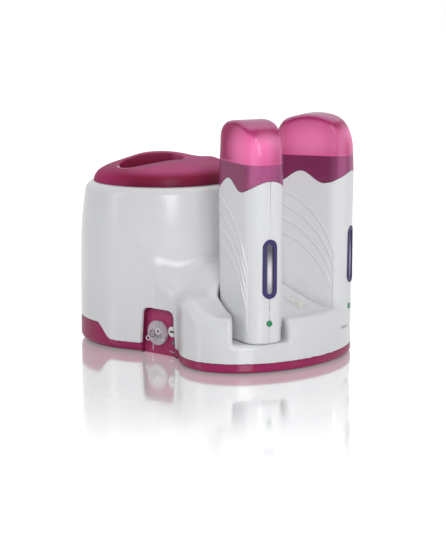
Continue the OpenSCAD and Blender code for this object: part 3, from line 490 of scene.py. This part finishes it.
def cap_tones_and_painted_light(wire, tone):
    """Painted light on the clear cap: a painted glow in its middle, in colour and in emission, painted shade
    down one side and in the fold under the crown, a painted reflection on the crown and painted highlights
    down its corners; over the collar it is plum, with painted light towards the front and at the corners, and
    a pinker line runs just above the collar
    """
    u, v, z = hand_place(wire)
    outer = wire.step(v, -15.0, 15.0)
    # painted glow: brighter towards the cap's middle, weaker on the outer face
    across = outer * ((u - 22) * (1 / 36)) + (1 - outer) * ((u - 2) * (1 / 41))
    up = (z - 203) * (1 / 27)
    painted_light = wire.maths("MAXIMUM", 1 - across * across - up * up, 0.0)
    # painted shade: one side of the cap's front end is darker
    side = wire.step(v + 0.8 * (26 - wire.maths("MAXIMUM", u, 26.0)), -26.0, -4.0)
    painted_light = painted_light * (0.3 + 0.7 * side) * (1 - outer * 0.25)
    above = wire.step(z, COLLAR_Z - 0.4, COLLAR_Z + 0.4)
    lip = above * (1 - wire.step(z, COLLAR_Z + 1.6, COLLAR_Z + 3.0))
    rise = z - CROWN_Z
    depth = wire.maths("POWER", u * u + rise * rise, 0.5) - CROWN_R
    # painted reflection: the crown is paler mauve
    crown = wire.step(depth, -2.4, -1.0) * (1 - wire.step(u, 21.0, 27.0))
    # painted shade in the fold below the crown
    fold_shade = wire.step(depth, -6.0, -2.4) * (1 - crown) * (1 - wire.step(u, 28.0, 35.0))
    # painted highlight down the cap's corners
    bend = wire.step(u, 27.0, 31.0) * (1 - wire.step(u, 32.5, 36.5))
    pale = wire.between(outer, colour("FAA6D0"), colour("F07CB6"))
    pink = wire.between(painted_light, colour("AE1C64"), pale)
    pink = wire.between(fold_shade * 0.75, pink, colour("A01858"))
    pink = wire.between(crown * 0.7, pink, colour("C97AA4"))
    pink = wire.between(lip * 0.5, pink, colour("E060A0"))
    pink = wire.between(bend * 0.3, pink, colour("F6A6CE"))
    band = wire.between(outer, colour("82365E"), colour("96406C"))
    # painted light towards the band's front and lit side, with a painted highlight at the corners
    band = wire.between(wire.step(u, 22.0, 34.0) * (0.2 + 0.8 * side), band, colour("B85C92"))
    band = wire.between(bend * 0.4, band, colour("D078AA"))
    # painted glow: the cap's lit middle emits light
    glow = painted_light * above * (1 - fold_shade * 0.7) * (1 - crown)
    shine = wire.between(glow, (0.03, 0.003, 0.012), (0.62, 0.13, 0.32))
    return {"Base Color": wire.between(above, band, pink), "Emission Color": shine}


COLLAR_Z, CROWN_Z, CROWN_R, REAR_DROP, CAP_SPRING_Z, CAP_DRAFT = 190.0, 173.6, 54.4, 9.6, 172.0, 0.036
# the emission here is a painted glow
cap_pink = finish("clear_pink", colour("B8286E"), 0.16, vary=0.02, depth=0.000006, paint=cap_tones_and_painted_light,
                  Coat_Weight=0.5, Coat_Roughness=0.1, Specular_IOR_Level=0.0, Alpha=0.82,
                  Emission_Strength=0.6)
WAVE_Z, WAVE_H, HAND_FOOT, HAND_WALL = 170.2, 5.4, 27.3, 2.0
WINDOW_Z, WINDOW_HALF, WINDOW_R, LED_Z, LED_R = 96.3, 19.7, 6.0, 46.4, 2.75
SCREW_U, SCREW_Z, PAD_U, PAD_R = (0.0, HAND_R - HAND_P), 35.3, (-10.0, 10.0), 3.2
WAVE_RUN, WAVE_TURN = (-48.5, -29.8, -7.2, 15.5, 48.5), [k * math.pi for k in range(5)]


def taper(z):
    """A handset's width over its width at the middle"""
    return (71 + 4 * np.clip(z - 27, 0, 173) / 173) / 72.6


def wave(u, v):
    """The height at which cap and half shells meet, which follows the way round the handset"""
    a = np.abs(u) - (HAND_P - HAND_R)
    b = np.abs(v) - (HAND_Q - HAND_R)
    turn = np.arctan2(np.maximum(a, 0), np.maximum(b, 1e-6))
    run = np.where(a <= 0, np.abs(u), HAND_P - HAND_R + HAND_R * turn + np.maximum(-b, 0))
    return WAVE_Z + WAVE_H * np.cos(np.interp(run * np.sign(u), WAVE_RUN, WAVE_TURN))


def half_form(outside):
    """The half shell to the outside (1) or the inside (-1) of the dock"""
    def form(u, v, z):
        t = taper(z)
        plan = hand_plan(u / t, v / t)
        shell = corner(plan, HAND_FOOT - z, 2.4)
        shell = corner(shell, z - wave(u, v), 0.6)
        hollow = overlap(plan + HAND_WALL, HAND_FOOT + HAND_WALL - z)
        window = np.hypot(v, np.maximum(np.abs(z - WINDOW_Z) - WINDOW_HALF, 0)) - WINDOW_R
        lamp = np.hypot(v, z - LED_Z) - LED_R
        form = overlap(shell, -hollow, -overlap(np.minimum(window, lamp), 25 - u))
        if outside < 0:
            for place in SCREW_U:
                form = overlap(form, -overlap(np.hypot(u - place, z - SCREW_Z) - SCREW_HOLE_R, v + 16.7))
        for place in PAD_U:
            form = overlap(form, -overlap(np.hypot(u - place, v) - PAD_R, z - 30))
        # The parting line opens above the foot
        return overlap(form, 0.01 + 0.02 * smooth((z - 57) / 1.5) - v * outside)
    return form


def cap_form(u, v, z):
    """A cap whose crown bends over towards the handset's back"""
    t = taper(np.minimum(z, CAP_SPRING_Z))
    plan = hand_plan(u / t, v / t) + CAP_DRAFT * np.maximum(z - CAP_SPRING_Z, 0)
    low = np.where(u < 0, REAR_DROP, 0.0)
    crown = np.hypot(u, z - CROWN_Z + low) - CROWN_R - low
    edge = 3.5 + 9.0 * smooth((u - 14) / 19) + 6.5 * smooth((-u - 14) / 19)
    shell = overlap(corner(plan, crown, edge), -corner(plan + HAND_WALL, crown + HAND_WALL, edge - HAND_WALL))
    return corner(shell, wave(u, v) + 0.3 - z, 0.5)


def rib(path, facing):
    """A low wedge that follows a path of (u, z) on a broad face"""
    u, z = np.asarray(path, float).T
    du, dz = np.gradient(u), np.gradient(z)
    run = np.hypot(du, dz)
    points = []
    for off, height in ((-1.3, -0.3), (-1.6, 0.0), (0.0, 0.75), (0.4, -0.3)):
        a, b = u - off * dz / run, z + off * du / run
        t = taper(b)
        bend = np.maximum(np.abs(a) / t - (HAND_P - HAND_R), 0)
        face = (HAND_Q - HAND_R + np.sqrt(np.maximum(HAND_R ** 2 - bend ** 2, 0))) * t
        points.append(np.stack([a, facing * (face + height), b], 1))
    points = np.stack(points, 1).reshape(-1, 3)
    start = np.arange(len(u) - 1)[:, None] * 4
    faces = np.concatenate([start + np.array([k, (k + 1) % 4, (k + 1) % 4 + 4, k + 4]) for k in range(4)])
    ends = np.array([[3, 2, 1, 0], [0, 1, 2, 3]]) + np.array([[0], [len(points) - 4]])
    faces = np.concatenate([faces, ends])
    return points, faces[:, ::-1] if facing > 0 else faces


def ribs(points, faces, facing):
    """Adds four arcs that fan out of an upright line near the handset's front"""
    radius, centre_u, centre_z, apart = 82, -54, 80, 13.4
    paths = []
    for k in range(4):
        turns = np.linspace(0.33, math.asin((80.6 - 0.35 * k) / radius), 26)
        low = centre_z - apart * k
        paths.append([(centre_u + radius * math.sin(a), low + radius * math.cos(a)) for a in turns])
    paths.append([(26.0, z) for z in np.linspace(96, 40, 8)])
    for path in paths:
        more, quads = rib(path, facing)
        faces = np.concatenate([faces, quads + len(points)])
        points = np.concatenate([points, more])
    return points, faces


def set_in_dock(points, faces, side):
    """Turns a handset's own coordinates into the heater's, for the front (-1) or rear (1)"""
    u, v, z = points.T
    x = HAND_X + u * math.cos(SPLAY) - v * math.sin(SPLAY)
    y = HAND_Y + u * math.sin(SPLAY) + v * math.cos(SPLAY)
    return np.stack([x, side * y, z], 1), faces if side > 0 else faces[:, ::-1]


outer_half = ribs(*skin(half_form(1), (-40, -1.5, 25), (40, 22, 178), 1.4), 1)
inner_half = ribs(*skin(half_form(-1), (-40, -22, 25), (40, 1.5, 178), 1.4), -1)
cap = skin(cap_form, (-40, -22, 162), (40, 22, 231), 1.1)
for side, name in ((-1, "front"), (1, "rear")):
    for half, node in ((outer_half, "outer_half"), (inner_half, "inner_half")):
        piece(f"{name}_{node}_shell", *set_in_dock(*half, side), f"{name}_handset", hand_white,
              "handset_white", [f"{name}_{node}"])
    piece(f"{name}_cap_dome", *set_in_dock(*cap, side), f"{name}_handset_cap", cap_pink, "clear_pink",
          [f"{name}_cap"])


# -------------------------------------------------------------- smaller parts
# The well, its ring and the small mouldings, boards and screws keep their CAD
# shapes and take the finish of their real materials.
def ring_marks(wire, tone):
    """The fine rings that spinning leaves in the aluminium"""
    turned = wire.node("ShaderNodeTexWave", {"wave_type": "RINGS", "rings_direction": "Z"},
                       {"Vector": wire.place(), "Scale": 160.0, "Distortion": 0.4, "Detail": 2.0})
    return {"Normal": wire.bump(turned, 0.15, 0.00004)}


def lens_painted_light(wire, tone):
    """Painted light on the window: painted shade at its edges and top, and a painted highlight down its
    middle
    """
    u, v, z = hand_place(wire)
    middle = wire.maths("MAXIMUM", 1 - v * v * (1 / 10.5), 0.0)
    painted_light = middle * (1 - wire.step(z, 94.0, 114.0)) * (0.4 + 0.6 * wire.step(z, 74.0, 90.0))
    return {"Base Color": wire.between(painted_light, colour("4A4352"), colour("ECE9EE"))}


finishes = {
    "aluminium": finish("spun_aluminium", colour("C8CACD"), 0.34, Metallic=1.0, paint=ring_marks),
    "steel": finish("plated_steel", colour("B9BBBE"), 0.3, Metallic=1.0),
    "brass": finish("plated_brass", colour("D0A95E"), 0.3, Metallic=1.0),
    "rubber": finish("foot_rubber", colour("2A2A2C"), 0.75),
    "pale_plastic": finish("pale_plastic", colour("DCDDDE"), 0.32),
    "felt": finish("heat_felt", colour("C9C3B4"), 0.95, depth=0.0002),
    "black_plastic": finish("black_plastic", colour("2A2A2D"), 0.42),
    "lamp_grey": finish("lamp_lens", colour("7B7685"), 0.15, Coat_Weight=0.5),
    "circuit_board": finish("circuit_board", colour("2F7048"), 0.4),
    "clear_knob": finish("clear_knob", colour("DCD4DC"), 0.15, Coat_Weight=0.5, Alpha=0.56),
    "knob_core": finish("knob_core", colour("8E8190"), 0.35),
    "button_white": finish("button_white", colour("EFEFEF"), 0.2, Coat_Weight=0.4),
    "cream_plastic": finish("cream_plastic", colour("E6E5DF"), 0.3),
    "collar_mauve": finish("collar_mauve", colour("5E3A50"), 0.35),
    "ceramic": finish("heater_ceramic", colour("D8CFAE"), 0.6),
    "green_lens": finish("green_lens", colour("0E8A5A"), 0.2, Coat_Weight=0.5),
    "navy_plastic": finish("navy_bezel", colour("3F3A6B"), 0.3, Coat_Weight=0.35, Specular_IOR_Level=0.0),
    "window_clear": finish("window_clear", colour("9A96A2"), 0.2, paint=lens_painted_light, Coat_Weight=0.3),
}
slots = {s["node"]: s["material_slot"] for s in frame["record"]["subparts"]}
for node, thing in frame["nodes"].items():
    if slots[node] in finishes:
        thing.data.materials.clear()
        thing.data.materials.append(finishes[slots[node]])


# ------------------------------------------------------------------- controls
# The thermostat's clear knob shows moulded rings on its core and has a looped
# pointer. Marks are printed on the panel and the button, and a darker red sheet
# along the recess's walls is painted shade.
pale_print = finish("pale_print", colour("E6DCE4"), 0.5)
dark_print = finish("dark_print", colour("4C4650"), 0.5)
plum = finish("plum_plastic", colour("4A1E3A"), 0.4)
DIAL_R, LOOP_TURN, MARK_Y = 11.8, math.radians(208), -69.4


def bead(path, y, radius, closed=False):
    """A round bead that follows a path of (x, z) on the panel"""
    path = np.asarray(path, float)
    along = np.roll(path, -1, 0) - np.roll(path, 1, 0) if closed else np.gradient(path, axis=0)
    along /= np.linalg.norm(along, axis=1)[:, None]
    points = []
    for turn in np.arange(8) * math.pi / 4:
        off, lift = radius * math.cos(turn), radius * math.sin(turn)
        points.append(np.stack([path[:, 0] - off * along[:, 1], np.full(len(path), y + lift),
                                path[:, 1] + off * along[:, 0]], 1))
    points = np.stack(points, 1).reshape(-1, 3)
    last = len(path) if closed else len(path) - 1
    faces = []
    for a in range(last):
        b = (a + 1) % len(path)
        faces += [(a * 8 + k, a * 8 + (k + 1) % 8, b * 8 + (k + 1) % 8, b * 8 + k) for k in range(8)]
    if not closed:
        faces += [tuple(range(7, -1, -1)), tuple(range(last * 8, last * 8 + 8))]
    return points, faces


def arc(centre, radius, start, end, count=28):
    turns = np.linspace(start, end, count)
    return [(centre[0] + radius * math.cos(a), centre[1] + radius * math.sin(a)) for a in turns]


def slab(x0, x1, y0, y1, z0, z1):
    """A box between two corners"""
    points = [(x, y, z) for x in (x0, x1) for y in (y0, y1) for z in (z0, z1)]
    return points, [(0, 1, 3, 2), (4, 6, 7, 5), (0, 4, 5, 1), (2, 3, 7, 6), (0, 2, 6, 4), (1, 5, 7, 3)]


def knob_form(x, y, z):
    return corner(np.hypot(x - DIAL_X, z - DIAL_Z) - DIAL_R, np.abs(y + PANEL_Y + 2.8) - 2.2, 0.8)


piece("knob_cover", *skin(knob_form, (-16, -71, 8), (9.5, -63, 34.5), 0.6), "dial", finishes["clear_knob"],
      "clear_knob", ["dial_knob"])
loop = np.array([(12.6, -2.0), (14.6, -2.1), (16.0, -1.5), (16.6, 0), (16.0, 1.5), (14.6, 2.1), (12.6, 2.0),
                 (11.0, 1.2), (11.0, -1.2)])
turned = np.stack([DIAL_X + loop[:, 0] * math.cos(LOOP_TURN) - loop[:, 1] * math.sin(LOOP_TURN),
                   DIAL_Z + loop[:, 0] * math.sin(LOOP_TURN) + loop[:, 1] * math.cos(LOOP_TURN)], 1)
piece("knob_pointer", *bead(turned, -67.6, 0.6, True), "dial", pale_print, "clear_knob")
marks = [("knob_ring", bead(arc((-0.9, 23.2), 2.7, 0, 6.06), MARK_Y - 0.1, 0.55, True), pale_print),
         ("knob_loop_0", bead(arc((-8.3, 20.2), 3.2, 0, 6.06), MARK_Y, 0.42, True), dark_print),
         ("knob_loop_1", bead(arc((-2.9, 18.3), 1.7, 0, 6.0), MARK_Y, 0.35, True), dark_print),
         ("knob_loop_2", bead(arc((1.7, 18.9), 1.2, 0, 6.0), MARK_Y, 0.3, True), dark_print),
         ("knob_rivet", bead([(-0.9, 23.9), (-0.9, 22.5)], MARK_Y - 0.1, 0.8), dark_print)]
strokes = [((-9.8, 21.4), (-7.6, 19.0), dark_print), ((-6.0, 14.4), (-2.2, 13.6), dark_print),
           ((2.6, 22.6), (4.6, 24.2), pale_print), ((4.2, 17.4), (5.4, 15.4), pale_print),
           ((-7.4, 26.0), (-4.6, 27.8), pale_print)]
marks += [(f"knob_stroke_{k}", bead(np.linspace(start, end, 4), MARK_Y + 0.05, 0.36), ink)
          for k, (start, end, ink) in enumerate(strokes)]
for name, mark, ink in marks:
    piece(name, *mark, "dial", ink, "knob_core")
bar = slab(BUTTON_X - 3.0, BUTTON_X + 3.0, -66.32, -66.1, BUTTON_Z - 1.0, BUTTON_Z + 0.9)
piece("button_bar", *bar, "button", dark_print, "button_white")
marks = [(-12.7, -11.8, 4.6, 8.7), (-13.0, -11.5, 6.6, 7.3), (-12.7, -11.8, 3.0, 3.9), (9.4, 10.6, 4.6, 5.2),
         (11.2, 11.9, 3.7, 5.4), (12.6, 14.2, 4.1, 4.7), (14.9, 15.6, 3.3, 4.8)]
for k, (x0, x1, z0, z1) in enumerate(marks):
    piece(f"panel_mark_{k}", *slab(x0, x1, -PANEL_Y - 0.1, -PANEL_Y + 0.3, z0, z1), "housing", pale_print,
          "raspberry_shell")
points, quads = slab(-2.3, 2.3, -PANEL_Y - 0.25, -PANEL_Y + 0.3, -2.3, 2.3)
points = [(LAMP_X + (x + z) * 0.707, y, LAMP_Z + (z - x) * 0.707) for x, y, z in points]
piece("lamp_seat", points, quads, "housing", plum, "raspberry_shell")
turn_x = RECESS_HALF - RECESS_TAPER - RECESS_R
left = [(-RECESS_HALF, 0.4), (-19.8, 27.5)]
left += arc((-turn_x, RECESS_TURN_Z), RECESS_R, math.pi, math.pi / 2, 12)
edge = np.array(left + [(-x, z) for x, z in left[::-1]])
along = np.gradient(edge, axis=0)
out = np.stack([-along[:, 1], along[:, 0]], 1) / np.linalg.norm(along, axis=1)[:, None]
section = ((-0.12, -64.4), (0.36, -64.4), (0.36, -69.7), (-0.12, -69.7))
points = np.stack([np.insert(edge + out * off, 1, y, axis=1) for off, y in section], 1).reshape(-1, 3)
faces = [(a + k, a + 4 + k, a + 4 + (k + 1) % 4, a + (k + 1) % 4) for a in range(0, len(points) - 4, 4)
         for k in range(4)] + [(0, 1, 2, 3), tuple(len(points) - k for k in (1, 2, 3, 4))]
# painted shade: a darker red sheet along the recess's walls
painted_shade_red = finish("recess_painted_shade", colour("74203F"), 0.35)
piece("recess_shade_sheet", points, faces, "housing", painted_shade_red, "raspberry_shell")


# --------------------------------------------------------------------- rocker
# The small switch on the island: a cream paddle with a shallow V on top, which
# rests tipped towards the front in its frame.
profile = [(-6.3, 2.2), (-0.4, 1.2), (0.6, 1.4), (6.3, 3.1), (6.9, 0), (6.48, -2.36), (0, -3.2),
           (-6.48, -2.36), (-6.9, 0)]
PADDLE_HALF, PADDLE_TIP, DECK_Z = 4.3, math.radians(8), 54.03
points = []
for b in (-PADDLE_HALF, PADDLE_HALF):
    for a, c in profile:
        lean = ROCKER_TILT - PADDLE_TIP
        points.append((ROCKER_X + a * math.cos(lean) + c * math.sin(lean), ROCKER_Y + b,
                       DECK_Z - a * math.sin(lean) + c * math.cos(lean)))
count = len(profile)
faces = [tuple(range(count)), tuple(range(2 * count - 1, count - 1, -1))]
faces += [(k, k + count, (k + 1) % count + count, (k + 1) % count) for k in range(count)]
piece("rocker_paddle", points, faces, "rocker_switch", finishes["cream_plastic"], "cream_plastic", ["rocker"])


# ------------------------------------------------------------ floor and light
# A white floor that mirrors the heater near its foot, a white room behind it
# and a dim one in front, a wide soft lamp to the camera's right, a weaker one
# to its left, a narrow strip at the dock's side and one overhead.
def rays(wire):
    """Whether a ray comes from the camera, a glossy surface or through a clear one"""
    path = wire.node("ShaderNodeLightPath").socket.node
    return [Wire(wire.tree, path.outputs[f"Is {kind} Ray"]) for kind in ("Camera", "Glossy", "Transmission")]


floor_paint = bpy.data.materials.new("floor")
floor_paint.use_nodes = True
tree = floor_paint.node_tree
wire = Wire(tree)
matt = tree.nodes["Principled BSDF"]
mirror = tree.nodes.new("ShaderNodeBsdfPrincipled")
for shader, fixed in ((matt, {"Base Color": (0.9, 0.9, 0.9, 1), "Roughness": 0.9, "Specular IOR Level": 0,
                              "Emission Strength": 0.72}),
                      (mirror, {"Base Color": (1, 1, 1, 1), "Roughness": 0.1, "Metallic": 1})):
    for key, value in fixed.items():
        shader.inputs[key].default_value = value
seen, glossy, through = rays(wire)
view = wire.maths("MAXIMUM", seen, wire.maths("MAXIMUM", glossy, through))
tree.links.new(wire.between(view, (0, 0, 0), (1, 1, 1)).socket, matt.inputs["Emission Color"])
away = wire.node("ShaderNodeVectorMath", {"operation": "LENGTH"}, {0: wire.place()}, out=1)
near = wire.step(away, 0.18, 0.64, 0.76, 0.0)
mixed = tree.nodes.new("ShaderNodeMixShader")
tree.links.new(near.socket, mixed.inputs[0])
tree.links.new(matt.outputs[0], mixed.inputs[1])
tree.links.new(mirror.outputs[0], mixed.inputs[2])
tree.links.new(mixed.outputs[0], tree.nodes["Material Output"].inputs["Surface"])
mesh = bpy.data.meshes.new("floor")
mesh.from_pydata([(-6, -6, 0), (6, -6, 0), (6, 6, 0), (-6, 6, 0)], [], [(0, 1, 2, 3)])
mesh.materials.append(floor_paint)
floor = bpy.data.objects.new("floor", mesh)
bpy.context.scene.collection.objects.link(floor)

world = bpy.data.worlds.new("studio")
bpy.context.scene.world = world
world.use_nodes = True
tree = world.node_tree
wire = Wire(tree)
seen, glossy, through = rays(wire)
facing = wire.node("ShaderNodeVectorMath", {"operation": "DOT_PRODUCT"},
                   {0: wire.node("ShaderNodeTexCoord"), 1: (0.66, -0.73, 0.17)}, out=1)
room = wire.step(facing, -0.35, 0.35, 1.0, 0.16)
white_view = wire.maths("MAXIMUM", seen, through)
strength = white_view + (1 - white_view) * (glossy * room + (1 - glossy) * 0.4)
tree.links.new(strength.socket, tree.nodes["Background"].inputs["Strength"])
tree.nodes["Background"].inputs["Color"].default_value = (1, 1, 1, 1)


def lamp(name, place, target, size, power):
    data = bpy.data.lights.new(name, "AREA")
    data.shape, data.energy = "RECTANGLE", power
    data.size, data.size_y = size
    made = bpy.data.objects.new(name, data)
    bpy.context.scene.collection.objects.link(made)
    made.location = place
    made.rotation_mode = "QUATERNION"
    made.rotation_quaternion = (Vector(target) - Vector(place)).to_track_quat("-Z", "Y")


lamp("key_lamp", (1.45, -1.02, 0.85), (0, 0, 0.1), (0.6, 1.2), 14.0)
lamp("right_strip", (1.42, 0.48, 0.6), (0, 0, 0.1), (0.1, 1.2), 1.0)
lamp("left_strip", (-0.9, -1.5, 0.7), (0, 0, 0.1), (0.4, 1.2), 3.4)
lamp("top_lamp", (0.1, 0.2, 1.5), (0, 0, 0), (1.2, 1.2), 3)

bpy.context.scene.view_settings.view_transform = "Standard"
